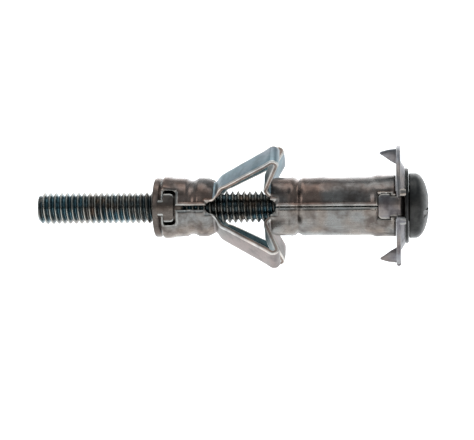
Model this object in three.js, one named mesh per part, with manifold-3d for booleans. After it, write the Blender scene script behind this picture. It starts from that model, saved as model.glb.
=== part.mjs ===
// Wall anchor: a folding sheet-steel cavity anchor with its M4 machine screw, drawn fully set.
// Millimetres. X runs along the screw towards its head and Z is up. The origin is where the screw's
// axis meets the back face of the flange, which is the face of the wall.
import * as THREE from 'three';
import { mergeVertices } from 'three/addons/utils/BufferGeometryUtils.js';
import Module from 'manifold-3d';

const wasm = await Module();
wasm.setup();

// ---- Clearances
const FOLD_GAP = 0.06; // between the two halves of a bend, where the sheet folds
const SEAM_GAP = 0.08; // between the two shells of the barrel
const KEY_GAP = 0.08; // round a T-shaped key in its window
const SEAT_GAP = 0.02; // between faces that are clamped together
const THREAD_GAP = 0.06; // radial, between screw thread and nut thread

// ---- Thread
const PITCH = 0.7;
const THREAD_MAJOR = 1.95;
const THREAD_DEPTH = 0.45;
const THREAD_MINOR = THREAD_MAJOR - THREAD_DEPTH;
const THREAD_CREST = 0.12;

// ---- Flange plate
const FLANGE_RADIUS = 7.25;
const FLANGE_THICKNESS = 0.5;
const FLANGE_DISH = 0.5; // how far the middle stands forward of the rim
const FLANGE_SEAT_RADIUS = 5.4; // inner edge of the flat ring that lies on the wall
const FLANGE_BOSS_RADIUS = 4.4;
const FLANGE_BORE_RADIUS = THREAD_MAJOR + 0.45;
const SLOT_HALF_WIDTH = 1.26;
const SLOT_HEAD_HALF_WIDTH = 1.6;
const LIP_REACH = 0.65; // how far the slot's lips stand forward of the rim
const LIP_WIDTH = 0.85;
const PRONG_LENGTH = 2.06;
const PRONG_WIDTH = 1.85;
const PRONG_OUTER_RADIUS = FLANGE_RADIUS - 0.4;
const PRONG_INNER_RADIUS = PRONG_OUTER_RADIUS - PRONG_WIDTH;

// ---- Sleeve: the barrel at the flange end and the collar at the nut end
const SHEET = 0.55;
const BARREL_RADIUS = 3.5;
const BARREL_START = -0.06;
const BARREL_LENGTH = 14.94;
const BARREL_END = BARREL_START - BARREL_LENGTH;
const BARREL_FLARE = 0.2;
const BARREL_SLOT_END = BARREL_END + 0.7;
const BARREL_SLOT_HALF_WIDTH = 0.95;
const BARREL_GROOVE_X = BARREL_END + 3.2;
const LEG_SPAN = 6.9; // from the barrel to the collar
const COLLAR_RADIUS = 3.5;
const COLLAR_LENGTH = 6.2;
const COLLAR_END = BARREL_END - LEG_SPAN;
const COLLAR_START = COLLAR_END - COLLAR_LENGTH;
const COLLAR_FLARE = 0.3;
const COLLAR_SLOT_END = COLLAR_END - 0.9;
const COLLAR_SLOT_HALF_WIDTH = 0.8;
const COLLAR_GROOVE_X = COLLAR_START + 3.52;
const COLLAR_NECK = -0.25; // how far the collar draws in where the legs leave it
const COLLAR_SEAM_GAP = 0.6;
const GROOVE_DEPTH = 0.27;

// ---- Nut
const NUT_RADIUS = 3.6;
const NUT_THICKNESS = 0.8;
const NUT_BACK = COLLAR_START - 0.3 - NUT_THICKNESS;
const NUT_HUB_RADIUS = COLLAR_RADIUS - SHEET - 0.15;
const NUT_HUB_END = COLLAR_START + 2.5;

// ---- Keys: T-shaped lugs on the flange and on the nut
const FLANGE_KEY = {
  neck: 1.2,
  head: 1.52,
  shoulder: BARREL_START - 0.69,
  tip: BARREL_START - 2.04,
  corner: 0.3,
};
const NUT_KEY = {
  neck: 0.92,
  head: 1.75,
  shoulder: COLLAR_START + 0.25,
  tip: COLLAR_START + 1.45,
  corner: 0.25,
};
const NUT_WINDOW_HALF_WIDTH = 2.1;
const NUT_WINDOW_END = NUT_KEY.tip + 0.25;

// ---- Legs. Each is one strip, folded where it leaves the collar, at its elbow and at the barrel.
const LEG_WIDTH = 3.0;
const LEG_ANGLES = {
  upper_right: 50,
  upper_left: 130,
  lower_left: 230,
  lower_right: 310,
}; // degrees about X from +Y; left and right as seen from the room
const STUB_INSET = 0.125; // the sheet's middle at a leg's root lies this far inside the wall's
const COLLAR_BEND = {
  x: COLLAR_END + 0.2,
  radius: 0.9,
  axisDistance: COLLAR_RADIUS + COLLAR_NECK - SHEET / 2 - STUB_INSET,
};
const ELBOW = { x: BARREL_END + 0.5, radius: 0.5, centreDistance: 7.6 };
const BARREL_BEND = {
  x: BARREL_END + 0.15,
  radius: 0.6,
  axisDistance: BARREL_RADIUS - SHEET / 2 - STUB_INSET,
};

// ---- Screw and washer
const SCREW_LENGTH = 45;
const HEAD_RADIUS = 3.9;
const HEAD_HEIGHT = 2.4;
const HEAD_RIM = 0.75; // height of the head's upright side
const RECESS_ANGLE = 20;
const RECESS_DEPTH = 1.7;
const RECESS_REACH = 2.1;
const RECESS_WIDTH = 0.75;
const SLOT_DEPTH = 0.75;
const SLOT_WIDTH = 0.9;
const WASHER_RADIUS = 4.5;
const WASHER_BORE_RADIUS = THREAD_MAJOR + 0.2;
const WASHER_THICKNESS = 0.43;

const ROUND_STEPS = 48;
const THREAD_STEPS = 12;
const BEND_STEPS = 3;

// ---- Helpers

// The solid that a closed three.js geometry bounds, turned to face out.
function solid(geometry) {
  const bare = geometry.clone();
  bare.deleteAttribute('normal');
  bare.deleteAttribute('uv');
  const merged = mergeVertices(bare, 1e-5);
  const position = merged.attributes.position;
  const triVerts = new Uint32Array(merged.index.array);
  const [a, b, c] = [new THREE.Vector3(), new THREE.Vector3(), new THREE.Vector3()];
  let volume = 0;
  for (let i = 0; i < triVerts.length; i += 3) {
    a.fromBufferAttribute(position, triVerts[i]);
    b.fromBufferAttribute(position, triVerts[i + 1]);
    c.fromBufferAttribute(position, triVerts[i + 2]);
    volume += a.dot(b.cross(c));
  }
  if (volume < 0) {
    for (let i = 0; i < triVerts.length; i += 3) {
      [triVerts[i + 1], triVerts[i + 2]] = [triVerts[i + 2], triVerts[i + 1]];
    }
  }
  const vertProperties = new Float32Array(position.array);
  return new wasm.Manifold(new wasm.Mesh({ numProp: 3, vertProperties, triVerts }));
}

// A mesh node made from a solid.
function node(name, body, color) {
  const mesh = body.getMesh();
  const geometry = new THREE.BufferGeometry();
  geometry.setAttribute('position', new THREE.BufferAttribute(mesh.vertProperties, 3));
  geometry.setIndex(new THREE.BufferAttribute(mesh.triVerts, 1));
  geometry.computeVertexNormals();
  const material = new THREE.MeshStandardMaterial({ color, metalness: 0.9, roughness: 0.4 });
  const made = new THREE.Mesh(geometry, material);
  made.name = name;
  return made;
}

// A solid of revolution about X, from a closed outline of [x, distance from the axis].
function turned(outline, steps = ROUND_STEPS) {
  const points = outline.map(([x, r]) => new THREE.Vector2(r, x));
  const closes = outline[0][1] > 0 || outline[outline.length - 1][1] > 0;
  if (closes) points.push(points[0].clone());
  return solid(new THREE.LatheGeometry(points, steps).rotateZ(-Math.PI / 2));
}

// A plate: the outline [x, y] drawn in X and Y, from z = low to z = high.
function plate(outline, low, high) {
  const shape = new THREE.Shape(outline.map(([x, y]) => new THREE.Vector2(x, y)));
  const extruded = new THREE.ExtrudeGeometry(shape, { depth: high - low, bevelEnabled: false });
  return solid(extruded.translate(0, 0, low));
}

function box([x0, y0, z0], [x1, y1, z1]) {
  return plate([[x0, y0], [x1, y0], [x1, y1], [x0, y1]], z0, z1);
}

// Turns a body about the screw's axis.
function about(body, degrees) {
  return body.rotate([degrees, 0, 0]);
}

// ---- Threads

// A right-hand threaded rod from x = low to x = high at least, with all its radii grown by `grow`.
function threadedRod(low, high, grow) {
  const profile = [
    [0, THREAD_MINOR],
    [(PITCH - THREAD_CREST) / 2, THREAD_MAJOR],
    [(PITCH + THREAD_CREST) / 2, THREAD_MAJOR],
  ];
  const rows = profile.length;
  const firstTurn = Math.floor(low / PITCH) - 2;
  const turns = Math.ceil(high / PITCH) + 1 - firstTurn;
  const positions = [];
  const indices = [];
  const start = [];
  for (let column = 0; column < THREAD_STEPS; column += 1) {
    start.push(positions.length / 3);
    const angle = (column / THREAD_STEPS) * 2 * Math.PI;
    const count = rows * (column === 0 ? turns + 1 : turns) + 1;
    for (let j = 0; j < count; j += 1) {
      const [along, radius] = profile[j % rows];
      const turn = firstTurn + Math.floor(j / rows) + column / THREAD_STEPS;
      positions.push(
        turn * PITCH + along,
        (radius + grow) * Math.cos(angle),
        (radius + grow) * Math.sin(angle),
      );
    }
  }
  // The column after the last one is the first column, one turn further on.
  const at = (column, j) => (column < THREAD_STEPS ? start[column] + j : start[0] + j + rows);
  const last = rows * turns;
  for (let column = 0; column < THREAD_STEPS; column += 1) {
    for (let j = 0; j < last; j += 1) {
      const [a, b] = [at(column, j), at(column, j + 1)];
      const [c, d] = [at(column + 1, j + 1), at(column + 1, j)];
      indices.push(a, b, c, a, c, d);
    }
  }
  const endCap = (j, x, flip) => {
    const rim = [];
    for (let column = 0; column <= THREAD_STEPS; column += 1) rim.push(at(column, j));
    for (let step = rows - 1; step > 0; step -= 1) rim.push(start[0] + j + step);
    const centre = positions.length / 3;
    positions.push(x, 0, 0);
    rim.forEach((corner, i) => {
      const next = rim[(i + 1) % rim.length];
      indices.push(...(flip ? [centre, next, corner] : [centre, corner, next]));
    });
  };
  endCap(0, (firstTurn + 0.5) * PITCH, false);
  endCap(last, (firstTurn + turns + 0.5) * PITCH, true);
  const geometry = new THREE.BufferGeometry();
  geometry.setAttribute('position', new THREE.Float32BufferAttribute(positions, 3));
  geometry.setIndex(indices);
  return solid(geometry);
}

// ---- Bent strips

const radians = (degrees) => (degrees * Math.PI) / 180;

// A bend of the sheet's middle line in the plane of X and the distance from the axis.
// `turn` is 1 where the line turns left and -1 where it turns right.
function bend(x, distance, radius, turn) {
  return { centre: new THREE.Vector2(x, distance), radius, turn };
}

// The place and the normal on a bend where the line runs at the angle `heading`.
function onBend({ centre, radius, turn }, heading) {
  const normal = new THREE.Vector2(-Math.sin(heading), Math.cos(heading));
  return { normal, point: centre.clone().addScaledVector(normal, -turn * radius) };
}

function alongBend(made, from, to) {
  return Array.from({ length: BEND_STEPS + 1 }, (unused, i) =>
    onBend(made, from + ((to - from) * i) / BEND_STEPS));
}

// The heading of the straight line that leaves one bend and joins the next.
function headingBetween(first, second) {
  const between = second.centre.clone().sub(first.centre);
  const offset = second.turn * second.radius - first.turn * first.radius;
  return between.angle() - Math.asin(offset / between.length());
}

// The strip of sheet about a middle line, LEG_WIDTH wide, lying above the axis along +Y.
function strip(stations) {
  const side = (way) => stations.map(({ point, normal }) => {
    const corner = point.clone().addScaledVector(normal, (way * SHEET) / 2);
    return [corner.x, corner.y];
  });
  return plate([...side(1), ...side(-1).reverse()], -LEG_WIDTH / 2, LEG_WIDTH / 2);
}

const collarBend = bend(
  COLLAR_BEND.x, COLLAR_BEND.axisDistance + COLLAR_BEND.radius, COLLAR_BEND.radius, 1);
const elbowBend = bend(ELBOW.x, ELBOW.centreDistance, ELBOW.radius, -1);
const barrelBend = bend(
  BARREL_BEND.x, BARREL_BEND.axisDistance + BARREL_BEND.radius, BARREL_BEND.radius, 1);
const longHeading = headingBetween(collarBend, elbowBend);
const shortHeading = headingBetween(elbowBend, barrelBend) - 2 * Math.PI;
const collarFold = longHeading / 2;
const elbowFold = (longHeading + shortHeading) / 2;
const barrelFold = shortHeading / 2;
// Half the angle of a bend that its fold's gap takes away.
const gapAngle = (made) => FOLD_GAP / 2 / made.radius;

function rootStation(x, distance) {
  return { point: new THREE.Vector2(x, distance), normal: new THREE.Vector2(0, 1) };
}

const collarStub = strip([
  rootStation(COLLAR_END - 0.5, COLLAR_BEND.axisDistance),
  ...alongBend(collarBend, 0, collarFold - gapAngle(collarBend)),
]);
const longLeg = strip([
  ...alongBend(collarBend, collarFold + gapAngle(collarBend), longHeading),
  ...alongBend(elbowBend, longHeading, elbowFold + gapAngle(elbowBend)),
]);
const shortLeg = strip([
  ...alongBend(elbowBend, elbowFold - gapAngle(elbowBend), shortHeading),
  ...alongBend(barrelBend, shortHeading, barrelFold - gapAngle(barrelBend)),
]);
const barrelStub = strip([
  ...alongBend(barrelBend, barrelFold + gapAngle(barrelBend), 0),
  rootStation(BARREL_END + 0.6, BARREL_BEND.axisDistance),
]);

// ---- T-shaped keys

// The outline of a T seen from the side: from `root` to its tip, grown on all sides by `grow`.
function tOutline({ neck, head, shoulder, tip, corner }, root, grow) {
  const way = Math.sign(tip - shoulder);
  const half = [
    [root, neck + grow],
    [shoulder - way * grow, neck + grow],
    [shoulder - way * grow, head + grow],
    [tip - way * corner, head + grow],
    [tip + way * grow, head + grow - corner],
  ];
  return [...half, ...half.map(([x, z]) => [x, -z]).reverse()];
}

// A T of curved sheet between two radii on the +Y side.
function curvedKey(key, root, innerRadius, outerRadius) {
  const ends = [root, key.tip];
  const tube = turned([
    [Math.min(...ends), innerRadius],
    [Math.max(...ends), innerRadius],
    [Math.max(...ends), outerRadius],
    [Math.min(...ends), outerRadius],
  ]);
  return tube.intersect(about(plate(tOutline(key, root, 0), 0, 2 * outerRadius), -90));
}

// ---- Sub-parts

const BOSS_FRONT = FLANGE_DISH + FLANGE_THICKNESS;
const KEY_OUTER = BARREL_RADIUS + BARREL_FLARE;
const KEY_INNER = KEY_OUTER - FLANGE_THICKNESS;
const KEY_BEND_RADIUS = FLANGE_DISH + FLANGE_THICKNESS / 2 - BARREL_START - 0.3;
const KEY_BEND_DISTANCE = (KEY_INNER + KEY_OUTER) / 2 - KEY_BEND_RADIUS;

function flangeDisc() {
  const round = 0.08;
  return turned([
    [0, FLANGE_SEAT_RADIUS],
    [0, FLANGE_RADIUS - round],
    [round, FLANGE_RADIUS],
    [FLANGE_THICKNESS - round, FLANGE_RADIUS],
    [FLANGE_THICKNESS, FLANGE_RADIUS - round],
    [FLANGE_THICKNESS, FLANGE_SEAT_RADIUS + 0.1],
    [BOSS_FRONT, FLANGE_BOSS_RADIUS + 0.1],
    [BOSS_FRONT, FLANGE_BORE_RADIUS],
    [FLANGE_DISH, FLANGE_BORE_RADIUS],
    [FLANGE_DISH, FLANGE_BOSS_RADIUS],
  ]);
}

// The slot that the key is folded out of, wider where the key's head was.
function flangeSlot() {
  const slot = box([-1, KEY_BEND_DISTANCE + 0.085, -SLOT_HALF_WIDTH],
    [BOSS_FRONT + 1, FLANGE_RADIUS + 1, SLOT_HALF_WIDTH]);
  const wide = box([-1, FLANGE_BOSS_RADIUS + 0.3, -SLOT_HEAD_HALF_WIDTH],
    [BOSS_FRONT + 1, FLANGE_SEAT_RADIUS + 0.6, SLOT_HEAD_HALF_WIDTH]);
  return slot.add(wide);
}

// The key that holds the barrel: a neck bent back from the boss and a T-shaped head.
function flangeKey() {
  const bendX = BOSS_FRONT - FLANGE_THICKNESS / 2 - KEY_BEND_RADIUS;
  const arc = (radius) => Array.from({ length: 6 }, (unused, i) => [
    bendX + radius * Math.cos(radians(18 * i)),
    KEY_BEND_DISTANCE + radius * Math.sin(radians(18 * i)),
  ]);
  const neck = plate([
    [BOSS_FRONT, KEY_BEND_DISTANCE - 0.315],
    ...arc(KEY_BEND_RADIUS + FLANGE_THICKNESS / 2),
    [BARREL_START, KEY_OUTER - 0.1],
    [BARREL_START, KEY_INNER + 0.02],
    ...arc(KEY_BEND_RADIUS - FLANGE_THICKNESS / 2).reverse(),
    [FLANGE_DISH, KEY_BEND_DISTANCE - 0.315],
  ], -FLANGE_KEY.neck, FLANGE_KEY.neck);
  return neck.add(curvedKey(FLANGE_KEY, 0.1, KEY_INNER, KEY_OUTER));
}

// The two lips that stand forward beside the slot's open end, cut to the rim's curve.
function flangeLips() {
  const front = FLANGE_THICKNESS + LIP_REACH;
  const rim = turned([[0, 0], [front, 0], [front, FLANGE_RADIUS], [0, FLANGE_RADIUS]]);
  const lip = (low) => plate([
    [0.05, FLANGE_RADIUS - 0.75],
    [FLANGE_THICKNESS, FLANGE_RADIUS - 0.95],
    [front, FLANGE_RADIUS - 0.6],
    [front, FLANGE_RADIUS],
    [0.05, FLANGE_RADIUS],
  ], low, low + LIP_WIDTH);
  return lip(SLOT_HALF_WIDTH).add(lip(-SLOT_HALF_WIDTH - LIP_WIDTH)).intersect(rim);
}

function prong() {
  return plate([
    [FLANGE_THICKNESS / 2, PRONG_INNER_RADIUS],
    [0, PRONG_INNER_RADIUS],
    [-PRONG_LENGTH, PRONG_OUTER_RADIUS - 0.55],
    [-0.9 * PRONG_LENGTH, PRONG_OUTER_RADIUS - 0.3],
    [0, PRONG_OUTER_RADIUS],
    [FLANGE_THICKNESS / 2, PRONG_OUTER_RADIUS],
  ], -FLANGE_THICKNESS / 2, FLANGE_THICKNESS / 2);
}

// The notch that a prong leaves in the rim, where it is folded back about a radial line.
function prongNotch() {
  return plate([
    [FLANGE_THICKNESS / 2, PRONG_INNER_RADIUS],
    [PRONG_LENGTH + 0.2, PRONG_OUTER_RADIUS - 0.4],
    [PRONG_LENGTH + 0.2, FLANGE_RADIUS + 1],
    [FLANGE_THICKNESS / 2, FLANGE_RADIUS + 1],
  ], -1, BOSS_FRONT + 1).rotate([0, 90, 0]);
}

function flangePlate() {
  return [0, 180].reduce((body, side) => body
    .subtract(about(flangeSlot(), side))
    .subtract(about(prongNotch(), side + 90))
    .add(about(flangeKey(), side))
    .add(about(flangeLips(), side))
    .add(about(prong(), side + 90)), flangeDisc());
}

// The wall of a sleeve, from [x, rise above the plain radius] along its outside.
function sleeveWall(radius, line) {
  const outside = line.map(([x, rise]) => [x, radius + rise]);
  const inside = line.map(([x, rise]) => [x, radius + rise - SHEET]);
  return turned([...outside, ...inside.reverse()]);
}

// Four slots between the legs, with round ends at x = end, running out towards x = open.
function legSlots(end, open, halfWidth) {
  const way = Math.sign(open - end);
  const roundEnd = Array.from({ length: 7 }, (unused, i) => radians(-90 + 30 * i));
  const outline = [
    [open, -halfWidth],
    ...roundEnd.map((angle) => [
      end + way * halfWidth * (1 - Math.cos(angle)),
      halfWidth * Math.sin(angle),
    ]),
    [open, halfWidth],
  ];
  const one = about(plate(outline, 0, 10), -90);
  return [0, 90, 180, 270].map((angle) => about(one, angle)).reduce((a, b) => a.add(b));
}

// The half of a sleeve above (way = 1) or below (way = -1) its seams.
function halfSleeve(body, way, seamGap, stub) {
  const far = 20;
  const low = way > 0 ? seamGap / 2 : -far;
  const half = body.intersect(box([-60, -far, low], [60, far, low + far - seamGap / 2]));
  return Object.values(LEG_ANGLES)
    .filter((angle) => Math.sign(Math.sin(radians(angle))) === way)
    .reduce((whole, angle) => whole.add(about(stub, angle)), half);
}

function barrelTube() {
  const wall = sleeveWall(BARREL_RADIUS, [
    [BARREL_START, BARREL_FLARE],
    [-2.3, BARREL_FLARE + 0.03],
    [-3.2, 0],
    [BARREL_GROOVE_X + 0.6, 0],
    [BARREL_GROOVE_X + 0.25, -GROOVE_DEPTH],
    [BARREL_GROOVE_X - 0.25, -GROOVE_DEPTH],
    [BARREL_GROOVE_X - 0.6, 0],
    [BARREL_END, 0],
  ]);
  const key = plate(tOutline(FLANGE_KEY, 1, KEY_GAP), -10, 10);
  return wall
    .subtract(about(key, 90))
    .subtract(legSlots(BARREL_SLOT_END, BARREL_END - 2, BARREL_SLOT_HALF_WIDTH));
}

function collarTube() {
  const wall = sleeveWall(COLLAR_RADIUS, [
    [COLLAR_START, COLLAR_FLARE],
    [COLLAR_START + 0.6, COLLAR_FLARE - 0.03],
    [COLLAR_START + 1.6, 0.08],
    [COLLAR_GROOVE_X - 0.6, 0.04],
    [COLLAR_GROOVE_X - 0.3, -GROOVE_DEPTH],
    [COLLAR_GROOVE_X + 0.3, -GROOVE_DEPTH],
    [COLLAR_GROOVE_X + 0.75, 0.08],
    [COLLAR_SLOT_END + 0.1, 0.08],
    [COLLAR_END, COLLAR_NECK],
  ]);
  const window = plate([
    [COLLAR_START - 1, NUT_KEY.neck + KEY_GAP],
    [NUT_KEY.shoulder - KEY_GAP, NUT_KEY.neck + KEY_GAP],
    [NUT_KEY.shoulder - KEY_GAP, NUT_WINDOW_HALF_WIDTH],
    [NUT_WINDOW_END - 0.4, NUT_WINDOW_HALF_WIDTH],
    [NUT_WINDOW_END, NUT_WINDOW_HALF_WIDTH - 0.4],
    [NUT_WINDOW_END, -NUT_WINDOW_HALF_WIDTH + 0.4],
    [NUT_WINDOW_END - 0.4, -NUT_WINDOW_HALF_WIDTH],
    [NUT_KEY.shoulder - KEY_GAP, -NUT_WINDOW_HALF_WIDTH],
    [NUT_KEY.shoulder - KEY_GAP, -NUT_KEY.neck - KEY_GAP],
    [COLLAR_START - 1, -NUT_KEY.neck - KEY_GAP],
  ], -10, 10);
  return wall
    .subtract(about(window, 90))
    .subtract(legSlots(COLLAR_SLOT_END, COLLAR_END + 2, COLLAR_SLOT_HALF_WIDTH));
}

function nut() {
  const front = NUT_BACK + NUT_THICKNESS;
  const edge = 0.1;
  const body = turned([
    [NUT_BACK, 0],
    [NUT_BACK, NUT_RADIUS - edge],
    [NUT_BACK + edge, NUT_RADIUS],
    [front, NUT_RADIUS],
    [front, NUT_HUB_RADIUS],
    [NUT_HUB_END - 2 * edge, NUT_HUB_RADIUS],
    [NUT_HUB_END, NUT_HUB_RADIUS - 2 * edge],
    [NUT_HUB_END, 0],
  ]);
  const inner = NUT_HUB_RADIUS + 0.4;
  const key = curvedKey(NUT_KEY, front - 0.1, inner, NUT_RADIUS);
  const keyed = body.add(key).add(about(key, 180));
  return keyed.subtract(threadedRod(NUT_BACK - 1, NUT_HUB_END + 1, THREAD_GAP));
}

function washer(back) {
  const edge = 0.06;
  return turned([
    [back, WASHER_BORE_RADIUS],
    [back, WASHER_RADIUS - edge],
    [back + edge, WASHER_RADIUS],
    [back + WASHER_THICKNESS - edge, WASHER_RADIUS],
    [back + WASHER_THICKNESS, WASHER_RADIUS - edge],
    [back + WASHER_THICKNESS, WASHER_BORE_RADIUS],
  ]);
}

function screw(seat) {
  const tip = seat - SCREW_LENGTH;
  const chamfer = 0.45;
  const shank = turned([
    [tip, 0],
    [tip, THREAD_MAJOR - chamfer],
    [tip + chamfer, THREAD_MAJOR + 0.01],
    [seat + 0.5, THREAD_MAJOR + 0.01],
    [seat + 0.5, 0],
  ], 2 * THREAD_STEPS);
  const dome = Array.from({ length: 9 }, (unused, i) => {
    const angle = radians((90 * i) / 8);
    return [
      seat + HEAD_RIM + (HEAD_HEIGHT - HEAD_RIM) * Math.sin(angle),
      HEAD_RADIUS * Math.cos(angle),
    ];
  });
  dome[dome.length - 1][1] = 0;
  const head = turned([[seat, 0], [seat, HEAD_RADIUS - 0.15], [seat + 0.15, HEAD_RADIUS], ...dome]);
  const top = seat + HEAD_HEIGHT + 0.1;
  const wing = plate([
    [top, -RECESS_REACH],
    [top - RECESS_DEPTH, -0.3 * RECESS_REACH],
    [top - RECESS_DEPTH - 0.2, 0],
    [top - RECESS_DEPTH, 0.3 * RECESS_REACH],
    [top, RECESS_REACH],
  ], -RECESS_WIDTH / 2, RECESS_WIDTH / 2);
  const slot = box([top - SLOT_DEPTH, -HEAD_RADIUS - 1, -SLOT_WIDTH / 2],
    [top + 1, HEAD_RADIUS + 1, SLOT_WIDTH / 2]);
  const recess = wing.add(about(wing, 90)).add(slot);
  const shaped = head.subtract(about(recess, RECESS_ANGLE));
  return threadedRod(tip - 1, seat + 1, 0).intersect(shank).add(shaped);
}

// ---- Assembly
const washerBack = FLANGE_DISH + FLANGE_THICKNESS + SEAT_GAP;
const headSeat = washerBack + WASHER_THICKNESS + SEAT_GAP;
const barrel = barrelTube();
const collar = collarTube();
const STEEL = 0x9a9488;
const BLUED = 0x8e9aa0;
const DARK = 0x2b2a2c;

const group = new THREE.Group();
group.name = 'wall_anchor';
group.add(
  node('screw', screw(headSeat), DARK),
  node('washer', washer(washerBack), DARK),
  node('flange_plate', flangePlate(), STEEL),
  node('barrel_upper', halfSleeve(barrel, 1, SEAM_GAP, barrelStub), STEEL),
  node('barrel_lower', halfSleeve(barrel, -1, SEAM_GAP, barrelStub), STEEL),
  node('collar_upper', halfSleeve(collar, 1, COLLAR_SEAM_GAP, collarStub), STEEL),
  node('collar_lower', halfSleeve(collar, -1, COLLAR_SEAM_GAP, collarStub), STEEL),
  node('nut', nut(), STEEL),
);
for (const [place, angle] of Object.entries(LEG_ANGLES)) {
  group.add(
    node(`long_leg_${place}`, about(longLeg, angle), BLUED),
    node(`short_leg_${place}`, about(shortLeg, angle), BLUED),
  );
}

export default group;
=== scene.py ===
# A wall anchor, drawn fully set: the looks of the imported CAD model, in metres, in the CAD's frame.
# X runs along the screw towards its head, Z is up, and the wall's face is at x = 0.
import math

import bmesh
import bpy
import numpy as np
from mathutils import Matrix, Vector, noise


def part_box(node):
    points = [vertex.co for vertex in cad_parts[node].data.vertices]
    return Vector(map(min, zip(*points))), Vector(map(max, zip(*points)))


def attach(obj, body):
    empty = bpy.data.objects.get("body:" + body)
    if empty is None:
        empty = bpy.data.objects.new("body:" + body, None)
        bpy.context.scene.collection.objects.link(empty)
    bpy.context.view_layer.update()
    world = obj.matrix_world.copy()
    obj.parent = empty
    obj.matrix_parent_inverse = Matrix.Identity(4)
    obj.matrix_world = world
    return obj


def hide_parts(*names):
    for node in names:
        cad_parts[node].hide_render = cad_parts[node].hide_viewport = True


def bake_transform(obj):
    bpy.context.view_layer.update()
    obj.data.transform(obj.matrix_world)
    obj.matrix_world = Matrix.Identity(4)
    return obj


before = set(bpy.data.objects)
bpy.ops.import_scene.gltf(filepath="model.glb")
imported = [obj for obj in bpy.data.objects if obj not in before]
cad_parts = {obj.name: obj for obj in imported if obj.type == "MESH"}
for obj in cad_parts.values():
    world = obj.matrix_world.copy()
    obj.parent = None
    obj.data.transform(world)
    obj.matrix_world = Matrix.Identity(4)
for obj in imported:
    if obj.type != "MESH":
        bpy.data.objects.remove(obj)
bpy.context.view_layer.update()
MM = 0.001

# ---- Sizes in millimetres, as in the CAD
SHEET = 0.55
BARREL_RADIUS = 3.5
BARREL_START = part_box("barrel_upper")[1].x / MM
BARREL_END = -15.0
BARREL_FLARE = 0.2
BARREL_GROOVE_X = -11.8
BARREL_SLOT_END = -14.3
BARREL_SLOT_HALF = 0.95
COLLAR_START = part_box("collar_upper")[0].x / MM
COLLAR_END = -21.9
COLLAR_GROOVE_X = -24.58
COLLAR_SLOT_END = -22.8
COLLAR_SLOT_HALF = 0.8
COLLAR_NECK = -0.25
GROOVE_DEPTH = 0.27
LEG_ANGLES = {"upper_right": 50, "upper_left": 130, "lower_left": 230, "lower_right": 310}
LEG_HALF = 1.5
# A bend is the place of its centre along X, its distance from the axis, its radius, and 1 where the
# sheet turns outwards or -1 where it turns inwards.
COLLAR_BEND = (-21.7, 2.85 + 0.9, 0.9, 1)
ELBOW_BEND = (-14.5, 7.6, 0.5, -1)
BARREL_BEND = (-14.85, 3.1 + 0.6, 0.6, 1)
FLANGE_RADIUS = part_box("flange_plate")[1].z / MM
FLANGE_SHEET = 0.5
FLANGE_DISH = 0.5
FLANGE_KEY = {"neck": 1.2, "head": 1.52, "shoulder": -0.75, "tip": -2.1}
NUT_KEY = {"neck": 0.92, "head": 1.75, "shoulder": -27.85, "tip": -26.65}
NUT_WINDOW_HALF = 2.1
NUT_WINDOW_END = -26.4
NUT_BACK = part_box("nut")[0].x / MM
NUT_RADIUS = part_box("nut")[1].z / MM
SCREW_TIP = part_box("screw")[0].x / MM
SCREW_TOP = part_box("screw")[1].x / MM
HEAD_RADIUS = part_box("screw")[1].z / MM
HEAD_SEAT = SCREW_TIP + 45.0
WASHER_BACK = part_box("washer")[0].x / MM
WASHER_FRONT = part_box("washer")[1].x / MM
WASHER_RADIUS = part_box("washer")[1].z / MM
THREAD_MAJOR = 1.95
THREAD_MINOR = 1.5
PITCH = 0.7
RECESS_TURN = 20
SEAM_HALF = {"barrel": 0.085, "collar": 0.3}
WINDOW_TURNS = (90, 270)


# ---- Node helpers

class Graph:
    """Adds nodes to a node tree. An input named i0, i1 and so on goes by its number, and _ is a space."""

    def __init__(self, tree):
        self.tree = tree

    def add(self, kind, settings=None, **inputs):
        made = self.tree.nodes.new(kind)
        for key, value in (settings or {}).items():
            setattr(made, key, value)
        for key, value in inputs.items():
            socket = int(key[1:]) if key[1:].isdigit() else key.replace("_", " ")
            self.feed(made.inputs[socket], value)
        return made

    def feed(self, socket, value):
        if isinstance(value, bpy.types.NodeSocket):
            self.tree.links.new(value, socket)
        else:
            socket.default_value = value

    def mix(self, factor, a, b):
        made = self.tree.nodes.new("ShaderNodeMix")
        made.data_type = "RGBA"
        for index, value in ((0, factor), (6, a), (7, b)):
            self.feed(made.inputs[index], value)
        return made.outputs[2]

    def ramp(self, factor, stops):
        made = self.tree.nodes.new("ShaderNodeValToRGB")
        ramp = made.color_ramp
        while len(ramp.elements) < len(stops):
            ramp.elements.new(0.5)
        for element, (position, value) in zip(ramp.elements, stops):
            element.position = position
            element.color = value if isinstance(value, tuple) else (value, value, value, 1)
        self.tree.links.new(factor, made.inputs[0])
        return made.outputs[0]

    def math(self, operation, a, b=0.0):
        return self.add("ShaderNodeMath", {"operation": operation}, i0=a, i1=b).outputs[0]

    def noise(self, vector, scale, detail, roughness):
        made = self.add("ShaderNodeTexNoise", Vector=vector, Scale=scale, Detail=detail, Roughness=roughness)
        return made.outputs["Fac"]


def rgb(r, g, b):
    return (r, g, b, 1)


def empty_material(name):
    """A new material and the graph of its empty node tree."""
    material = bpy.data.materials.new(name)
    material.use_nodes = True
    material.node_tree.nodes.clear()
    return material, Graph(material.node_tree)


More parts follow.
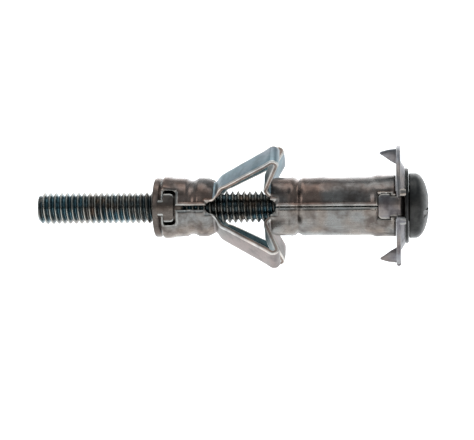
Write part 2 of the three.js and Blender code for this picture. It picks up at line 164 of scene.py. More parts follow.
def plated(name, cool, warm, stain, roughness, crest=None):
    """Zinc-plated steel: two tints in soft patches, darker stains, rolling streaks and fine scratches.
    crest lightens what lies far from the screw's axis, a painted highlight along the thread's crests."""
    material, g = empty_material(name)
    place = g.add("ShaderNodeTexCoord").outputs["Object"]
    scaled = g.add("ShaderNodeMapping", i0=place, i3=(1000, 1000, 1000)).outputs[0]
    streaked = g.add("ShaderNodeMapping", i0=place, i3=(300, 5200, 5200)).outputs[0]
    patches = g.noise(scaled, 0.2, 3.0, 0.5)
    stains = g.noise(scaled, 0.55, 7.0, 0.62)
    streaks = g.noise(streaked, 1.0, 5.0, 0.6)
    fine = g.noise(scaled, 9.0, 5.0, 0.7)
    tint = g.mix(g.ramp(patches, [(0.42, 0.0), (0.58, 1.0)]), rgb(*cool), rgb(*warm))
    stained = g.mix(g.ramp(stains, [(0.36, 0.75), (0.54, 0.0)]), tint, rgb(*stain))
    colour = g.mix(g.ramp(streaks, [(0.3, 0.3), (0.6, 0.0)]), stained, rgb(*stain))
    # Painted highlight: the thread's crests are lightened by their distance from the axis.
    if crest:
        share = g.ramp(crest_height(g, scaled), [(0.1, 0.0), (0.62, 0.15), (1.0, 1.0)])
        colour = g.mix(share, colour, rgb(*crest))
    rough = g.ramp(stains, [(0.3, roughness + 0.12), (0.6, roughness)])
    height = g.math("ADD", g.math("MULTIPLY", fine, 0.7), g.math("MULTIPLY", streaks, 0.5))
    bump = g.add("ShaderNodeBump", Strength=0.22, Distance=0.00003, Height=height).outputs[0]
    shader = g.add("ShaderNodeBsdfPrincipled", Base_Color=colour, Metallic=1.0, Roughness=rough, Normal=bump)
    g.add("ShaderNodeOutputMaterial", Surface=shader.outputs[0])
    return material


def crest_height(g, scaled):
    """How far a point stands between the thread's root, 0, and its crest, 1."""
    parts = g.add("ShaderNodeSeparateXYZ", i0=scaled).outputs
    squares = [g.math("MULTIPLY", part, part) for part in (parts[1], parts[2])]
    radius = g.math("SQRT", g.math("ADD", *squares))
    return g.math("MULTIPLY", g.math("SUBTRACT", radius, THREAD_MINOR), 1 / (THREAD_MAJOR - THREAD_MINOR))


def patinated(name, base, sheen, roughness):
    """Dark finished steel with a soft, slightly worn sheen."""
    material, g = empty_material(name)
    place = g.add("ShaderNodeTexCoord").outputs["Object"]
    scaled = g.add("ShaderNodeMapping", i0=place, i3=(1000, 1000, 1000)).outputs[0]
    cloud = g.noise(scaled, 0.9, 6.0, 0.65)
    fine = g.noise(scaled, 14.0, 4.0, 0.7)
    colour = g.mix(g.ramp(cloud, [(0.35, 0.0), (0.7, 1.0)]), rgb(*base), rgb(*sheen))
    rough = g.ramp(cloud, [(0.3, roughness + 0.12), (0.7, roughness - 0.08)])
    bump = g.add("ShaderNodeBump", Strength=0.3, Distance=0.00003, Height=fine).outputs[0]
    shader = g.add("ShaderNodeBsdfPrincipled", Base_Color=colour, Metallic=0.85, Roughness=rough, Normal=bump)
    g.add("ShaderNodeOutputMaterial", Surface=shader.outputs[0])
    return material


# The upper half-shells get a darker, browner copy of the plating than the lower ones: painted shade above,
# painted light below.
SLEEVE_UPPER = plated("sleeve_brown", (0.15, 0.14, 0.135), (0.15, 0.105, 0.088), (0.035, 0.026, 0.023), 0.24)
SLEEVE_LOWER = plated("sleeve_grey", (0.20, 0.20, 0.195), (0.21, 0.175, 0.15), (0.06, 0.045, 0.04), 0.26)
# A light copy of the plating for legs' rolled edges and shells' seam and end faces: painted highlight.
EDGE_HIGHLIGHT = plated("cut_edge_highlight", (0.66, 0.66, 0.64), (0.60, 0.53, 0.48), (0.30, 0.28, 0.27), 0.3)
# A light copy of the plating for the keys' rolled edges and the bands along the shells' openings: painted
# highlight.
KEY_EDGE_HIGHLIGHT = plated("key_edge_highlight", (0.34, 0.34, 0.33), (0.32, 0.28, 0.25), (0.16, 0.15, 0.14), 0.32)
CUT_FACE = plated("cut_face", (0.20, 0.17, 0.15), (0.24, 0.17, 0.14), (0.09, 0.075, 0.07), 0.36)
# The upper legs get a cool copy of the plating and the lower legs a warm one: painted reflection of what lies
# above and below.
LEG_UPPER = plated("leg_cool", (0.20, 0.26, 0.29), (0.24, 0.27, 0.30), (0.13, 0.17, 0.19), 0.34)
LEG_LOWER = plated("leg_warm", (0.22, 0.21, 0.20), (0.25, 0.21, 0.20), (0.14, 0.13, 0.13), 0.34)
# The inner sides of the sheet, legs and shells alike, get a dark copy of the plating: painted shade.
SHADED_INSIDE = plated("leg_inside_painted_shade", (0.05, 0.09, 0.10), (0.07, 0.09, 0.09), (0.02, 0.035, 0.04), 0.34)
FLANGE = plated("flange_plated", (0.19, 0.19, 0.205), (0.20, 0.175, 0.165), (0.065, 0.055, 0.06), 0.3)
NUT = plated("nut_plated", (0.105, 0.09, 0.08), (0.13, 0.095, 0.08), (0.04, 0.03, 0.027), 0.26)
# Its crests carry a painted highlight.
THREAD = plated("thread_plated", (0.07, 0.13, 0.155), (0.13, 0.10, 0.08), (0.015, 0.03, 0.036), 0.22,
                crest=(0.34, 0.32, 0.29))
HEAD = patinated("head_dark", (0.018, 0.018, 0.018), (0.05, 0.049, 0.047), 0.34)
WASHER = patinated("washer_dark", (0.014, 0.014, 0.014), (0.035, 0.035, 0.034), 0.36)


# ---- Mesh helpers

def piece(name, vertices, faces, materials, indices=None, smooth_angle=40):
    """A mesh object from points in millimetres."""
    mesh = bpy.data.meshes.new(name)
    mesh.from_pydata([tuple(MM * c for c in v) for v in vertices], [], faces)
    for material in materials:
        mesh.materials.append(material)
    if indices is not None:
        mesh.polygons.foreach_set("material_index", indices)
    mesh.validate()
    made = bpy.data.objects.new(name, mesh)
    bpy.context.scene.collection.objects.link(made)
    face_out(mesh)
    shade(mesh, smooth_angle)
    return made


def face_out(mesh):
    """Turns every face of a closed mesh outwards."""
    form = bmesh.new()
    form.from_mesh(mesh)
    bmesh.ops.recalc_face_normals(form, faces=form.faces)
    form.to_mesh(mesh)
    form.free()


def shade(mesh, smooth_angle):
    mesh.shade_smooth()
    mesh.set_sharp_from_angle(angle=math.radians(smooth_angle))


def settle(made):
    """Applies all of an object's modifiers."""
    graph = bpy.context.evaluated_depsgraph_get()
    mesh = bpy.data.meshes.new_from_object(made.evaluated_get(graph))
    made.modifiers.clear()
    made.data = mesh
    return made


def cut(made, cutters, smooth_angle=40):
    """Cuts the cutters out of an object."""
    for cutter in cutters:
        modifier = made.modifiers.new("cut", "BOOLEAN")
        modifier.operation = "DIFFERENCE"
        modifier.solver = "MANIFOLD"
        modifier.object = cutter
    settle(made)
    for cutter in cutters:
        bpy.data.objects.remove(cutter)
    shade(made.data, smooth_angle)
    return made


def soften(made, width, angle=35, segments=2):
    """Rounds the sharp edges of an object."""
    modifier = made.modifiers.new("soften", "BEVEL")
    modifier.width = width * MM
    modifier.segments = segments
    modifier.limit_method = "ANGLE"
    modifier.angle_limit = math.radians(angle)
    modifier.harden_normals = False
    settle(made)
    shade(made.data, 50)
    return made


def lathe(name, outline, material, steps=160, smooth_angle=40):
    """A solid of revolution about X. An outline of (x, distance) points that starts on the axis ends on it
    too, and any other one closes on itself."""
    on_axis = outline[0][1] == 0
    angles = np.linspace(0, 2 * math.pi, steps, endpoint=False)
    rows = len(outline)
    vertices = [(x, r * math.cos(a), r * math.sin(a)) for a in angles for x, r in outline]
    faces = []
    for i in range(steps):
        here, there = i * rows, ((i + 1) % steps) * rows
        for j in range(rows - 1 if on_axis else rows):
            k = (j + 1) % rows
            faces.append((here + j, here + k, there + k, there + j))
    made = piece(name, vertices, faces, [material], smooth_angle=smooth_angle)
    form = bmesh.new()
    form.from_mesh(made.data)
    bmesh.ops.remove_doubles(form, verts=form.verts, dist=1e-8)
    bmesh.ops.recalc_face_normals(form, faces=form.faces)
    form.to_mesh(made.data)
    form.free()
    return made


def prism(name, outline, low, high, turn=0.0, material=None):
    """A plate with its outline in X and Y, from z = low to high, turned about X by an angle in degrees."""
    count = len(outline)
    flat = [(x, y, z) for z in (low, high) for x, y in outline]
    spin = Matrix.Rotation(math.radians(turn), 3, "X")
    vertices = [tuple(spin @ Vector(v)) for v in flat]
    faces = [tuple(range(count)), tuple(range(2 * count - 1, count - 1, -1))]
    faces += [(i, (i + 1) % count, count + (i + 1) % count, count + i) for i in range(count)]
    return piece(name, vertices, faces, [material] if material else [], smooth_angle=30)


def smooth_step(low, high, value):
    """0 below low and 1 above high, with an even curve between."""
    t = np.clip((value - low) / (high - low), 0, 1)
    return t * t * (3 - 2 * t)


# ---- Sheet strips: a strip of sheet with rolled edges, lofted along a bent line

EDGE_ROUND = 0.13  # how far the rolled edge reaches through the sheet
EDGE_ROLL = 0.26  # how far it reaches across the strip


def section(low, high, half):
    """The cross-section of a strip: points (across, out) and, for each side of it, its material index."""
    flat = [low + EDGE_ROLL + (high - low - 2 * EDGE_ROLL) * i / 10 for i in range(11)]
    angles = [math.radians(30 * i) for i in range(4)]
    corner = [
        (high - EDGE_ROLL + EDGE_ROLL * math.cos(a), half - EDGE_ROUND + EDGE_ROUND * math.sin(a))
        for a in angles
    ]
    right = corner[2::-1] + [(w, -h) for w, h in corner[:3]]
    left = [(low + high - w, h) for w, h in right[::-1]]
    loop = [(w, half) for w in flat] + right + [(w, -half) for w in flat[::-1]] + left
    side = [1] * 3 + [3] + [1] * 3
    return loop, [0] * 10 + side + [2] * 10 + side


def strip(name, stations, azimuth, materials, half=SHEET / 2):
    """A strip of sheet. A station is (x, distance, heading, low, high, curl), and curl is its radius across.
    The materials are the outer side's, the rolled edges', the inner side's and the cut face's."""
    spin = math.radians(azimuth)
    vertices = []
    kinds = []
    for x, distance, heading, low, high, curl in stations:
        loop, kinds = section(low, high, half)
        for across, out in loop:
            angle = across / curl
            rise = (curl + out) * math.cos(angle) - curl
            side = (curl + out) * math.sin(angle)
            px = x - math.sin(heading) * rise
            pr = distance + math.cos(heading) * rise
            vertices.append((
                px,
                pr * math.cos(spin) - side * math.sin(spin),
                pr * math.sin(spin) + side * math.cos(spin),
            ))
    count = len(kinds)
    faces = []
    indices = []
    for i in range(len(stations) - 1):
        for j in range(count):
            k = (j + 1) % count
            faces.append((i * count + j, i * count + k, (i + 1) * count + k, (i + 1) * count + j))
            indices.append(kinds[j])
    faces += [tuple(range(count)), tuple((len(stations) - 1) * count + j for j in range(count))]
    indices += [1, 1]
    return piece(name, vertices, faces, materials, indices, smooth_angle=45)


def on_bend(bend, heading):
    """The point of a bend's middle line where it runs at a heading."""
    x, distance, radius, turn = bend
    return x + turn * radius * math.sin(heading), distance - turn * radius * math.cos(heading)


def heading_between(first, second):
    """The heading of the straight line that runs from one bend into the next."""
    dx, dr = second[0] - first[0], second[1] - first[1]
    offset = second[3] * second[2] - first[3] * first[2]
    return math.atan2(dr, dx) - math.asin(offset / math.hypot(dx, dr))


LONG_HEADING = heading_between(COLLAR_BEND, ELBOW_BEND)
SHORT_HEADING = heading_between(ELBOW_BEND, BARREL_BEND)
FOLD_X = on_bend(COLLAR_BEND, LONG_HEADING / 2)[0]


# ---- Screw

def thread():
    """The threaded shank: its rows follow the helix, so crests and roots stay smooth. What would pass
    the tip is drawn in to close it."""
    columns = 56
    tip_radius = THREAD_MAJOR - 0.42
    profile = [
        (0.00, 0.00), (0.06, 0.02), (0.12, 0.14), (0.38, 0.80), (0.44, 0.94), (0.50, 1.00),
        (0.56, 0.94), (0.62, 0.80), (0.88, 0.14), (0.94, 0.02),
    ]
    rows = len(profile)
    first = math.floor(SCREW_TIP / PITCH) - 6
    turns = math.ceil((HEAD_SEAT + 0.3) / PITCH) - first
    vertices = []
    starts = []
    for column in range(columns):
        starts.append(len(vertices))
        angle = 2 * math.pi * column / columns
        for j in range(rows * (turns + (column == 0)) + 1):
            part, height = profile[j % rows]
            x = (first + j // rows + part + column / columns) * PITCH
            radius = THREAD_MINOR + (THREAD_MAJOR - THREAD_MINOR) * height
            if x < SCREW_TIP:
                radius = max(0.0, min(radius, tip_radius - (SCREW_TIP - x) * 0.6))
                x = SCREW_TIP
            else:
                radius = min(radius, tip_radius + (x - SCREW_TIP) * 0.95)
            vertices.append((x, radius * math.cos(angle), radius * math.sin(angle)))

    def at(column, j):
        return starts[column] + j if column < columns else starts[0] + j + rows

    faces = []
    for column in range(columns):
        for j in range(rows * turns):
            faces.append((at(column, j), at(column, j + 1), at(column + 1, j + 1), at(column + 1, j)))
    return piece("screw_thread", vertices, faces, [THREAD], smooth_angle=60)


def pan_head():
    rim = HEAD_SEAT + 0.75
    corner = HEAD_RADIUS - 0.3
    outline = [(HEAD_SEAT, 0), (HEAD_SEAT, corner)]
    outline += [(HEAD_SEAT + 0.15 - 0.15 * math.cos(a), corner + 0.26 * math.sin(a) + 0.04)
                for a in np.linspace(0.2, math.pi / 2, 5)]
    outline += [(rim, HEAD_RADIUS)]
    outline += [(rim + (SCREW_TOP - rim) * math.sin(a), HEAD_RADIUS * math.cos(a))
                for a in np.linspace(0.06, math.pi / 2 - 0.02, 26)]
    outline += [(SCREW_TOP, 0)]
    made = lathe("screw_head", outline, HEAD, steps=144)
    top = SCREW_TOP + 0.1
    wing = [(top, -2.1), (top - 1.7, -0.63), (top - 1.9, 0), (top - 1.7, 0.63), (top, 2.1)]
    slot = [(top - 0.75, -5), (top + 1, -5), (top + 1, 5), (top - 0.75, 5)]
    cutters = [
        prism("wing_a", wing, -0.375, 0.375, RECESS_TURN),
        prism("wing_b", wing, -0.375, 0.375, RECESS_TURN + 90),
        prism("slot", slot, -0.45, 0.45, RECESS_TURN),
    ]
    return soften(cut(made, cutters), 0.06)


def washer():
    edge = 0.09
    inner = 2.15
    corners = [
        (WASHER_BACK, inner + edge), (WASHER_BACK, WASHER_RADIUS - edge),
        (WASHER_BACK + 0.3 * edge, WASHER_RADIUS - 0.3 * edge), (WASHER_BACK + edge, WASHER_RADIUS),
        (WASHER_FRONT - 2 * edge, WASHER_RADIUS), (WASHER_FRONT - 0.6 * edge, WASHER_RADIUS - 0.5 * edge),
        (WASHER_FRONT, WASHER_RADIUS - 2 * edge), (WASHER_FRONT, inner + edge),
        (WASHER_FRONT - edge, inner), (WASHER_BACK + edge, inner),
    ]
    return lathe("washer_ring", corners, WASHER, steps=144)


# ---- Flange

KEY_AZIMUTH = {"right": 0, "left": 180}
FLANGE_MATERIALS = [FLANGE, KEY_EDGE_HIGHLIGHT, FLANGE, FLANGE]


def flange_disc():
    front = FLANGE_SHEET
    boss = FLANGE_SHEET + FLANGE_DISH
    seat, crown, bore = 5.4, 4.4, 2.4
    ease = [i / 8 for i in range(9)]
    slope = [(FLANGE_DISH * smooth_step(0, 1, t), seat + (crown - seat) * t) for t in ease]
    outline = [
        (0, seat + 0.2), (0, FLANGE_RADIUS - 0.15), (0.05, FLANGE_RADIUS - 0.04), (0.14, FLANGE_RADIUS),
        (front - 0.2, FLANGE_RADIUS), (front - 0.06, FLANGE_RADIUS - 0.05), (front, FLANGE_RADIUS - 0.18),
    ]
    outline += [(x + front, r + 0.1) for x, r in slope]
    outline += [(boss, bore + 0.1), (boss - 0.1, bore), (FLANGE_DISH + 0.1, bore), (FLANGE_DISH, bore + 0.1)]
    outline += slope[::-1]
    made = lathe("flange_disc", outline, FLANGE, steps=200)
    return soften(cut(made, flange_cutters()), 0.05)


def flange_cutters():
    """Slots with a wider hole at the front and back, and the notches that the prongs leave."""
    slot = [(-1, 3.0), (2, 3.0), (2, 9), (-1, 9)]
    hole = [(-1, 4.7), (2, 4.7), (2, 6.0), (-1, 6.0)]
    notch = [(0.25, 5.0), (2.26, 6.45), (2.26, 8.25), (0.25, 8.25)]
    cutters = []
    for side in (0, 180):
        cutters.append(prism("slot", slot, -1.26, 1.26, side))
        cutters.append(prism("hole", hole, -1.6, 1.6, side))
        plate = prism("notch", notch, -1, 2)
        flat = Matrix.Rotation(math.radians(90), 4, "Y")
        plate.data.transform(Matrix.Rotation(math.radians(side + 90), 4, "X") @ flat)
        cutters.append(plate)
    return cutters


def flange_key(side):
    """The T-shaped key, from its tip in the barrel's window round the bend to the boss."""
    middle = BARREL_RADIUS + BARREL_FLARE - SHEET / 2
    bend = (0.24, middle - 0.51, 0.51, -1)
    key = FLANGE_KEY
    widths = [
        (key["tip"], key["head"] - 0.34), (key["tip"] + 0.12, key["head"] - 0.16),
        (key["tip"] + 0.3, key["head"] - 0.03), (key["tip"] + 0.42, key["head"]),
        (key["shoulder"] - 0.1, key["head"]), (key["shoulder"] - 0.02, key["head"] - 0.05),
        (key["shoulder"] + 0.02, key["neck"] + 0.1), (key["shoulder"] + 0.12, key["neck"]),
        (bend[0] - 0.1, key["neck"]),
    ]
    stations = [(x, middle, 0.0, -half, half, 3.4) for x, half in widths]
    for i in range(9):
        heading = -math.pi / 2 * i / 8
        x, distance = on_bend(bend, heading)
        stations.append((x, distance, heading, -key["neck"], key["neck"], 3.4 + 6.0 * i))
    stations.append((bend[0] + 0.51, 2.5, -math.pi / 2, -key["neck"], key["neck"], 60))
    return strip(f"flange_key_{side}", stations, KEY_AZIMUTH[side], FLANGE_MATERIALS, FLANGE_SHEET / 2)


def flange_lip(name, azimuth):
    """A lip beside a slot, turned forward out of the flange's rim."""
    bend = (0.6, FLANGE_RADIUS - 0.6, 0.35, -1)
    stations = [(0.25, FLANGE_RADIUS - 1.4, math.pi / 2, -0.42, 0.42, 30)]
    for i in range(7):
        heading = math.pi / 2 * (1 - i / 6)
        x, distance = on_bend(bend, heading)
        stations.append((x, distance, heading, -0.42, 0.42, 30))
    stations.append((1.0, FLANGE_RADIUS - 0.25, 0, -0.40, 0.40, 30))
    stations.append((1.13, FLANGE_RADIUS - 0.25, 0, -0.3, 0.3, 30))
    return strip(name, stations, azimuth, FLANGE_MATERIALS, 0.24)


def prong(name, side):
    """A pointed ear that stands back from the flange."""
    outline = [
        (0.2, 5.0), (0.0, 5.0), (-0.7, 5.38), (-1.5, 5.95), (-2.05, 6.28), (-1.9, 6.5), (-1.0, 6.74),
        (0.0, 6.86), (0.2, 6.86),
    ]
    return soften(prism(name, outline, -0.24, 0.24, side, FLANGE), 0.09)


# ---- Sleeve shells

ROLL_DEPTH, ROLL_WIDTH = 0.2, 0.46  # the edges of the openings roll inwards
HIGHLIGHT_WIDTH = 0.2  # and carry a painted highlight this far in
DENT_DEPTH = 0.05
LIP_DEPTH, LIP_WIDTH = 0.09, 0.25


def barrel_outside(x):
    flare = BARREL_FLARE * smooth_step(-3.2, -2.35, x)
    lips = 0.05 * np.exp(-((np.abs(x - BARREL_GROOVE_X) - 0.75) / 0.22) ** 2)
    groove = GROOVE_DEPTH * np.exp(-((x - BARREL_GROOVE_X) / 0.3) ** 2)
    return BARREL_RADIUS + flare + lips - groove


def collar_outside(x):
    line = [
        (COLLAR_START, 0.28), (-27.5, 0.28), (-26.6, 0.11), (-25.7, 0.05), (-25.25, 0.03), (-24.9, -0.2),
        (COLLAR_GROOVE_X, -GROOVE_DEPTH), (-24.25, -0.2), (-23.8, 0.05), (-23.3, 0.09), (-22.75, 0.05),
        (-22.3, -0.1), (COLLAR_END, COLLAR_NECK), (-21.6, -0.3),
    ]
    return BARREL_RADIUS + np.interp(x, *zip(*line))


def box_distance(x, w, low, high, half):
    """The signed distance from a point of the unrolled sheet to a box centred on the seam."""
    dx = np.maximum(low - x, x - high)
    dw = np.abs(w) - half
    outside = np.hypot(np.maximum(dx, 0), np.maximum(dw, 0))
    return outside + np.minimum(np.maximum(dx, dw), 0)


def shell(name, way, start, end, outside, seam_half, openings, cutters):
    """A half-shell of the sleeve, above (way 1) or below (way -1) its seams, with rolled edges."""
    xs = np.arange(start, end + 0.01, 0.1)
    plain = outside(xs)
    first = math.asin(seam_half / BARREL_RADIUS)
    last = math.pi - first
    angles = np.concatenate([
        np.linspace(first, first + 0.2, 12, endpoint=False),
        np.linspace(first + 0.2, last - 0.2, 70, endpoint=False),
        np.linspace(last - 0.2, last, 13),
    ])
    vertices = []
    highlighted = []
    for i, x in enumerate(xs):
        for angle in angles:
            across = min(angle, math.pi - angle) * BARREL_RADIUS
            to_openings = [float(box_distance(x, across, *opening)) for opening in openings]
            near = min(across - seam_half, *to_openings)
            roll = ROLL_DEPTH * max(0.0, 1 - near / ROLL_WIDTH) ** 2
            highlighted.append(near < HIGHLIGHT_WIDTH)
            dent = DENT_DEPTH * noise.noise(Vector((x * 0.5, math.cos(angle) * 2, way * math.sin(angle) * 2)))
            lip = LIP_DEPTH * max(0.0, 1 - min(x - start, end - x) / LIP_WIDTH) ** 2
            radius = plain[i] - roll + dent - lip
            for r in (radius, plain[i] + dent - SHEET):
                vertices.append((x, r * math.cos(angle), way * r * math.sin(angle)))
    columns, rows = len(xs), len(angles)

    def at(i, j, k):
        return (i * rows + j) * 2 + k

    faces = []
    indices = []
    for i in range(columns - 1):
        for j in range(rows - 1):
            for k in (0, 1):
                faces.append((at(i, j, k), at(i + 1, j, k), at(i + 1, j + 1, k), at(i, j + 1, k)))
                # Outer faces near an opening's edge take the painted highlight material.
                indices.append(3 if k == 0 and highlighted[i * rows + j] else k)
        for j in (0, rows - 1):
            faces.append((at(i, j, 0), at(i, j, 1), at(i + 1, j, 1), at(i + 1, j, 0)))
            indices.append(2)
    for j in range(rows - 1):
        for i in (0, columns - 1):
            faces.append((at(i, j, 0), at(i, j, 1), at(i, j + 1, 1), at(i, j + 1, 0)))
            indices.append(2)
    # Upper half-shells take the darker copy, painted shade; lower ones the lighter copy, painted light.
    outer = SLEEVE_UPPER if way > 0 else SLEEVE_LOWER
    made = piece(name, vertices, faces, [outer, SHADED_INSIDE, EDGE_HIGHLIGHT, KEY_EDGE_HIGHLIGHT], indices)
    return cut(made, cutters)


def slot_cutters(end, open_x, half):
    """Round-ended slots between the legs, at the front, back, top and bottom."""
    way = 1 if open_x > end else -1
    outline = [(open_x, -half)]
    outline += [(end + way * half * (1 - math.cos(a)), half * math.sin(a))
                for a in np.linspace(-math.pi / 2, math.pi / 2, 17)]
    outline += [(open_x, half)]
    return [prism(f"leg_slot_{turn}", outline, 0, 10, turn - 90) for turn in (0, 90, 180, 270)]


def window_cutters(half):
    """Cutters for the windows at both seams, from one half of a window's outline."""
    outline = half + [(x, -w) for x, w in half[::-1]]
    return [prism("window", outline, 0, 10, turn) for turn in WINDOW_TURNS]


def barrel_shell(name, way):
    """The windows follow the flange's T-keys, with a gap all round."""
    gap = 0.09
    neck, head = FLANGE_KEY["neck"] + gap, FLANGE_KEY["head"] + gap
    shoulder, tip = FLANGE_KEY["shoulder"] + gap, FLANGE_KEY["tip"]
    openings = [
        (tip - gap, shoulder, head),
        (FLANGE_KEY["shoulder"], 1.0, neck),
        (BARREL_END - 1, BARREL_SLOT_END, BARREL_SLOT_HALF),
    ]
    half = [(1, neck), (shoulder, neck), (shoulder, head), (tip + 0.3, head), (tip - gap, head - 0.3)]
    cutters = window_cutters(half) + slot_cutters(BARREL_SLOT_END, BARREL_END - 2, BARREL_SLOT_HALF)
    seam = SEAM_HALF["barrel"]
    return shell(name, way, BARREL_END + 0.02, BARREL_START, barrel_outside, seam, openings, cutters)


def collar_shell(name, way):
    """The windows are wider than the nut's T-keys, and open to the back only as wide as their necks."""
    gap = 0.08
    neck, wide = NUT_KEY["neck"] + gap, NUT_WINDOW_HALF
    low, high = NUT_KEY["shoulder"] - gap, NUT_WINDOW_END
    openings = [
        (low, high, wide),
        (COLLAR_START - 1, NUT_KEY["shoulder"], neck),
        (COLLAR_SLOT_END, COLLAR_END + 1, COLLAR_SLOT_HALF),
    ]
    half = [
        (COLLAR_START - 1, neck), (low, neck), (low, wide - 0.2), (low + 0.2, wide), (high - 0.5, wide),
        (high - 0.15, wide - 0.15), (high, wide - 0.5),
    ]
    cutters = window_cutters(half) + slot_cutters(COLLAR_SLOT_END, COLLAR_END + 2, COLLAR_SLOT_HALF)
    seam = SEAM_HALF["collar"]
    return shell(name, way, COLLAR_START, COLLAR_END + 0.1, collar_outside, seam, openings, cutters)


# ---- Nut

def nut_plate():
    front = NUT_BACK + 0.8
    hub_front = -25.6
    outline = [
        (NUT_BACK + 0.25, 2.0), (NUT_BACK, 2.3), (NUT_BACK, 2.75), (NUT_BACK + 0.06, 2.85),
        (NUT_BACK + 0.06, 3.0), (NUT_BACK, 3.1), (NUT_BACK, NUT_RADIUS - 0.22),
        (NUT_BACK + 0.06, NUT_RADIUS - 0.06), (NUT_BACK + 0.2, NUT_RADIUS),
        (front - 0.12, NUT_RADIUS), (front, NUT_RADIUS - 0.12), (front, 2.8),
        (hub_front - 0.2, 2.8), (hub_front, 2.6), (hub_front, 2.0),
    ]
    return lathe("nut_plate", outline, NUT, steps=144)


def nut_key(side):
    key = NUT_KEY
    widths = [
        (NUT_BACK + 0.7, key["neck"]), (key["shoulder"] - 0.12, key["neck"]),
        (key["shoulder"] - 0.02, key["neck"] + 0.1), (key["shoulder"] + 0.02, key["head"] - 0.06),
        (key["shoulder"] + 0.1, key["head"]), (key["tip"] - 0.4, key["head"]),
        (key["tip"] - 0.16, key["head"] - 0.08), (key["tip"] - 0.03, key["head"] - 0.25),
        (key["tip"], key["head"] - 0.42),
    ]
    stations = [(x, 3.4, 0.0, -half, half, 3.4) for x, half in widths]
    return strip(f"nut_key_{side}", stations, KEY_AZIMUTH[side], [NUT, KEY_EDGE_HIGHLIGHT, NUT, NUT], 0.2)


# ---- Legs

SHOULDER_RISE = 0.6
SHOULDER_START, SHOULDER_TOP, SHOULDER_END = -22.0, -20.7, -15.5
LINK_CURL = 16.0
BARREL_CURL = 3.3
# How a leg's two half-widths and the radius across it change along X
SEAM_SIDE = [(-22.2, 1.95), (-21.9, 1.85), (-21.5, 1.4), (-21.1, 1.15), (-20.2, 1.35), (-17.0, 1.42),
             (-15.0, LEG_HALF)]
FAR_SIDE = [(-22.2, 1.25), (-21.5, 1.3), (-21.1, 1.36), (-17.0, 1.42), (-15.0, LEG_HALF)]
CURL = [(-22.2, 3.0), (-21.6, 3.6), (-20.9, 8.0), (-18.0, LINK_CURL)]


def along(line, x):
    """The value at x of a line of (x, value) points."""
    return float(np.interp(x, *zip(*line)))


def leg_edges(x, angle):
    """How far a leg reaches to its two sides at a place along X. The side towards the sleeve's seams
    is widest on the collar and waists in where the leg has risen from it."""
    seam_side, far_side = along(SEAM_SIDE, x), along(FAR_SIDE, x)
    return (-seam_side, far_side) if math.sin(math.radians(2 * angle)) > 0 else (-far_side, seam_side)


def shoulder(x):
    """How far a leg stands above its straight line: steeply off the collar, then down to the elbow."""
    rise = SHOULDER_RISE * float(smooth_step(SHOULDER_START, SHOULDER_TOP, x))
    return rise * min(1.0, max(0.0, (SHOULDER_END - x) / (SHOULDER_END - SHOULDER_TOP)))


def leg_station(x, distance, heading, angle):
    """A station of a leg, raised by its shoulder, and flatter the further it is from the collar."""
    slope = (shoulder(x + 0.05) - shoulder(x - 0.05)) / 0.1
    heading += math.atan(slope) * float(smooth_step(FOLD_X, FOLD_X + 0.5, x))
    return (x, distance + shoulder(x), heading, *leg_edges(x, angle), along(CURL, x))


def bend_stations(bend, first, last, steps, angle):
    """Stations round a bend, from one heading to another."""
    headings = [first + (last - first) * i / steps for i in range(steps + 1)]
    return [leg_station(*on_bend(bend, heading), heading, angle) for heading in headings]


def straight_stations(start, end, heading, steps, angle):
    """Stations strictly between two points."""
    stations = []
    for i in range(1, steps):
        x, distance = (a + (b - a) * i / steps for a, b in zip(start, end))
        stations.append(leg_station(x, distance, heading, angle))
    return stations


def leg(place, angle):
    """One leg in three pieces: its root on the collar, the long link with the elbow, the short link."""
    # Upper legs take the cool copy and lower legs the warm one, both painted reflection.
    outer = LEG_UPPER if "upper" in place else LEG_LOWER
    materials = [outer, EDGE_HIGHLIGHT, SHADED_INSIDE, CUT_FACE]
    fold = LONG_HEADING / 2
    root = [leg_station(-22.2, 3.02, -0.25, angle), leg_station(-21.95, 2.92, -0.2, angle)]
    root += bend_stations(COLLAR_BEND, 0.0, fold, 6, angle)
    stub = strip(f"leg_root_{place}", root, angle, materials)
    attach(stub, "nut_end")

    rise_start, rise_end = on_bend(COLLAR_BEND, LONG_HEADING), on_bend(ELBOW_BEND, LONG_HEADING)
    drop_start, drop_end = on_bend(ELBOW_BEND, SHORT_HEADING), on_bend(BARREL_BEND, SHORT_HEADING)
    halfway = [(a + b) / 2 for a, b in zip(drop_start, drop_end)]
    span = bend_stations(COLLAR_BEND, fold, LONG_HEADING, 8, angle)
    span += straight_stations(rise_start, rise_end, LONG_HEADING, 30, angle)
    span += bend_stations(ELBOW_BEND, LONG_HEADING, SHORT_HEADING, 28, angle)
    span += straight_stations(drop_start, halfway, SHORT_HEADING, 6, angle)
    span.append(leg_station(*halfway, SHORT_HEADING, angle))
    link = strip(f"leg_long_{place}", span, angle, materials)
    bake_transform(link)
    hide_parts(f"long_leg_{place}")

    drop = [leg_station(*halfway, SHORT_HEADING, angle)]
    drop += straight_stations(halfway, drop_end, SHORT_HEADING, 6, angle)
    short = drop + bend_stations(BARREL_BEND, SHORT_HEADING, 0.0, 28, angle)
    short.append(leg_station(BARREL_END + 0.7, 3.14, 0.0, angle))
    flat = len(drop)
    for i in range(flat, len(short)):
        share = float(smooth_step(0.3, 1, (i - flat) / (len(short) - flat - 1)))
        short[i] = (*short[i][:-1], LINK_CURL + (BARREL_CURL - LINK_CURL) * share)
    inner = strip(f"leg_short_{place}", short, angle, materials)
    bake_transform(inner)
    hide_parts(f"short_leg_{place}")


# ---- Stage

MIDDLE = Vector((-0.019, 0, 0))


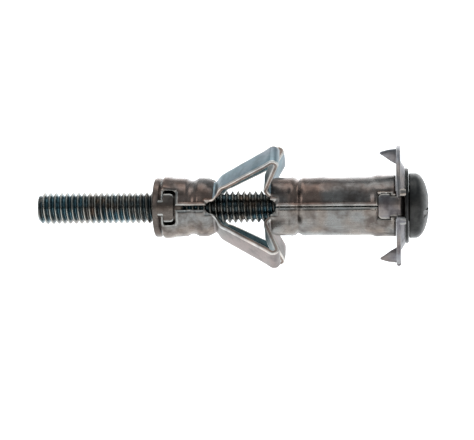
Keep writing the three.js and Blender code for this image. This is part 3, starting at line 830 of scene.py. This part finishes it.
def stage():
    """A pale floor that sweeps up behind the anchor, in millimetres."""
    width, depth, floor, back, bend, top = 2400, 1200, -60, 420, 160, 700
    line = [(-depth, floor), (back - bend, floor)]
    line += [(back - bend + bend * math.sin(a), floor + bend * (1 - math.cos(a)))
             for a in np.linspace(0, math.pi / 2, 24)[1:]]
    line += [(back, top)]
    vertices = [(x, y, z) for x in (-width, width) for y, z in line]
    count = len(line)
    faces = [(i, i + 1, count + i + 1, count + i) for i in range(count - 1)]
    material = bpy.data.materials.new("sweep")
    material.use_nodes = True
    shader = material.node_tree.nodes["Principled BSDF"]
    shader.inputs["Base Color"].default_value = rgb(0.93, 0.93, 0.93)
    shader.inputs["Roughness"].default_value = 0.9
    shader.inputs["Emission Color"].default_value = rgb(1, 1, 1)
    shader.inputs["Emission Strength"].default_value = 0.7
    sweep = piece("sweep", vertices, faces, [material], smooth_angle=60)


def area_light(name, location, size, power, colour=(1, 1, 1)):
    data = bpy.data.lights.new(name, "AREA")
    data.shape = "RECTANGLE"
    data.size, data.size_y = size
    data.energy = power
    data.color = colour
    made = bpy.data.objects.new(name, data)
    made.location = location
    made.rotation_mode = "QUATERNION"
    made.rotation_quaternion = (MIDDLE - Vector(location)).to_track_quat("-Z", "Y")
    bpy.context.scene.collection.objects.link(made)


def lights():
    area_light("top", (-0.03, -0.02, 0.30), (0.34, 0.16), 0.28, (1.0, 0.99, 0.97))
    area_light("key", (-0.22, -0.26, 0.16), (0.14, 0.20), 0.17, (0.97, 0.99, 1.0))
    area_light("fill", (0.20, -0.24, -0.02), (0.10, 0.16), 0.07, (1.0, 0.96, 0.92))
    area_light("front", (0.0, -0.34, -0.02), (0.30, 0.03), 0.06, (1.0, 0.90, 0.80))
    area_light("back", (-0.02, 0.24, 0.12), (0.30, 0.10), 0.12, (1.0, 1.0, 1.0))
    bpy.context.scene.world = studio_world()


def studio_world():
    """Bright and cool above, dim and warm at eye level, and pale below."""
    world = bpy.data.worlds.new("studio")
    world.use_nodes = True
    tree = world.node_tree
    tree.nodes.clear()
    g = Graph(tree)
    up = g.add("ShaderNodeSeparateXYZ", i0=g.add("ShaderNodeTexCoord").outputs["Generated"]).outputs[2]
    height = g.math("ADD", g.math("MULTIPLY", up, 0.5), 0.5)
    sky = g.ramp(height, [
        (0.28, rgb(0.34, 0.42, 0.44)), (0.45, rgb(0.06, 0.055, 0.05)),
        (0.56, rgb(0.10, 0.085, 0.075)), (0.74, rgb(0.52, 0.60, 0.64)),
    ])
    light = g.add("ShaderNodeBackground", Color=sky, Strength=1.0).outputs[0]
    g.add("ShaderNodeOutputWorld", Surface=light)
    return world


def camera():
    """The camera looks nearly square on, a little from the head's side and from above."""
    distance, view_width = 0.215, 0.0575
    azimuth, elevation, roll = (math.radians(angle) for angle in (5.5, 1.5, 0.54))
    target = Vector((-0.01929, 0, -0.00159))
    back = Vector((math.sin(azimuth) * math.cos(elevation), -math.cos(azimuth) * math.cos(elevation),
                   math.sin(elevation)))
    data = bpy.data.cameras.new("camera")
    data.sensor_width = 36
    data.lens = data.sensor_width * distance / view_width
    data.clip_start, data.clip_end = 0.01, 5
    made = bpy.data.objects.new("camera", data)
    made.rotation_mode = "QUATERNION"
    made.location = target + back * distance
    turned = (-back).to_track_quat("-Z", "Y")
    made.rotation_quaternion = turned @ Matrix.Rotation(-roll, 3, "Z").to_quaternion()
    bpy.context.scene.collection.objects.link(made)
    bpy.context.scene.camera = made


# ---- Assembly

def ride_all(body, replaced, made):
    """Pieces that ride on one body and together take the place of some nodes."""
    for item in made:
        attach(item, body)
    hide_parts(*replaced)


camera()
lights()
stage()
ride_all("screw", ["screw"], [thread(), pan_head()])
ride_all("washer", ["washer"], [washer()])
lips = [flange_lip(f"flange_lip_{i}", azimuth) for i, azimuth in enumerate((-13.8, 13.8, 166.2, 193.8))]
ride_all("sleeve", ["flange_plate"],
         [flange_disc(), flange_key("left"), flange_key("right"), prong("prong_top", 90),
          prong("prong_bottom", 270), *lips])
for name, way in (("upper", 1), ("lower", -1)):
    ride_all("sleeve", [f"barrel_{name}"], [barrel_shell(f"barrel_shell_{name}", way)])
    ride_all("nut_end", [f"collar_{name}"], [collar_shell(f"collar_shell_{name}", way)])
ride_all("nut_end", ["nut"], [nut_plate(), nut_key("left"), nut_key("right")])
for place, angle in LEG_ANGLES.items():
    leg(place, angle)

bpy.context.scene.view_settings.view_transform = "Standard"
